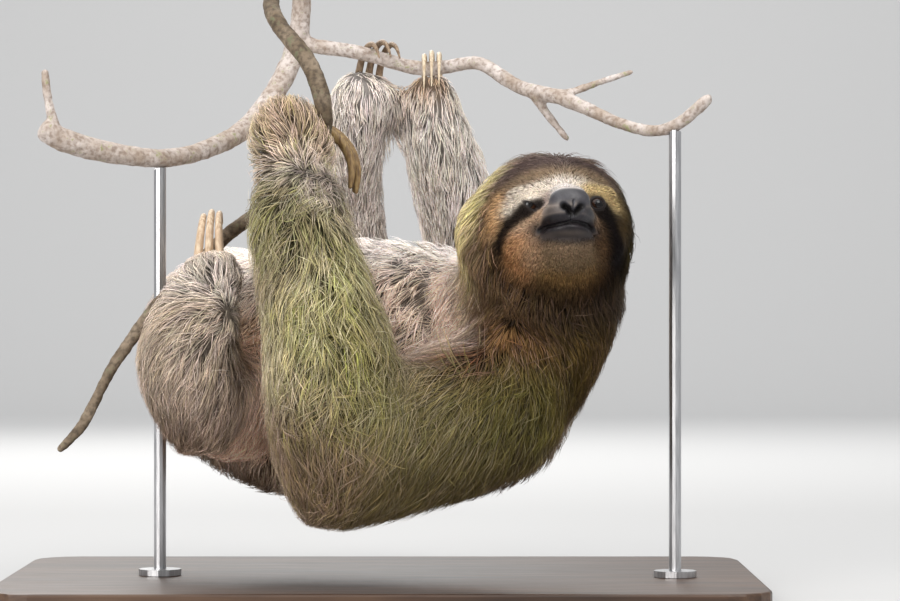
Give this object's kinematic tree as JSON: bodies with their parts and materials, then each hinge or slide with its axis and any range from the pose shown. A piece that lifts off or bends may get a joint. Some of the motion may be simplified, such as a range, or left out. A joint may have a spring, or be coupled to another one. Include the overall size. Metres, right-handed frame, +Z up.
{
  "type": "three-toed sloth model on display stand",
  "caption": "Still, life-size three-toed sloth hanging belly up from a cut forked branch, held over a flat base by two rods.",
  "frame": {"origin": "on the underside of the display stand's base, 12 mm right of its middle and 30 mm in front of it", "axes": "+X from the rump towards the head, +Y away from the viewer, from the near limbs to the far limbs, +Z up"},
  "size_m": [0.49, 0.3463, 0.4333],
  "materials": {
    "green_coat": "long coarse hair tinged green by algae",
    "brown_coat": "dark brown coarse hair",
    "tan_coat": "tan brown coarse hair",
    "pale_coat": "pale grey tan coarse hair",
    "nose_leather": "bare dark moist skin",
    "eye": "wet dark brown eye",
    "claw_horn": "ivory to brown horn",
    "bark": "weathered smooth bark",
    "stained_wood": "dark stained, satin",
    "brushed_steel": "brushed rod"
  },
  "bodies": {
    "root": {"eye_left": "eye", "eye_right": "eye", "head": "brown_coat", "left_foot": "pale_coat", "left_foot_claw_1": "claw_horn", "left_foot_claw_2": "claw_horn", "left_foot_claw_3": "claw_horn", "left_forearm": "green_coat", "left_hand": "pale_coat", "left_hand_claw_1": "claw_horn", "left_hand_claw_2": "claw_horn", "left_hand_claw_3": "claw_horn", "left_shin": "pale_coat", "left_thigh": "tan_coat", "left_upper_arm": "green_coat", "muzzle": "tan_coat", "neck": "brown_coat", "nose": "nose_leather", "perch_main": "bark", "perch_twig": "bark", "right_foot": "pale_coat", "right_foot_claw_1": "claw_horn", "right_foot_claw_2": "claw_horn", "right_foot_claw_3": "claw_horn", "right_forearm": "pale_coat", "right_hand": "pale_coat", "right_hand_claw_1": "claw_horn", "right_hand_claw_2": "claw_horn", "right_hand_claw_3": "claw_horn", "right_shin": "pale_coat", "right_thigh": "pale_coat", "right_upper_arm": "brown_coat", "stand_base": "stained_wood", "stand_rod_left": "brushed_steel", "stand_rod_right": "brushed_steel", "tail": "tan_coat", "trunk": "tan_coat"}
  },
  "joints": []
}
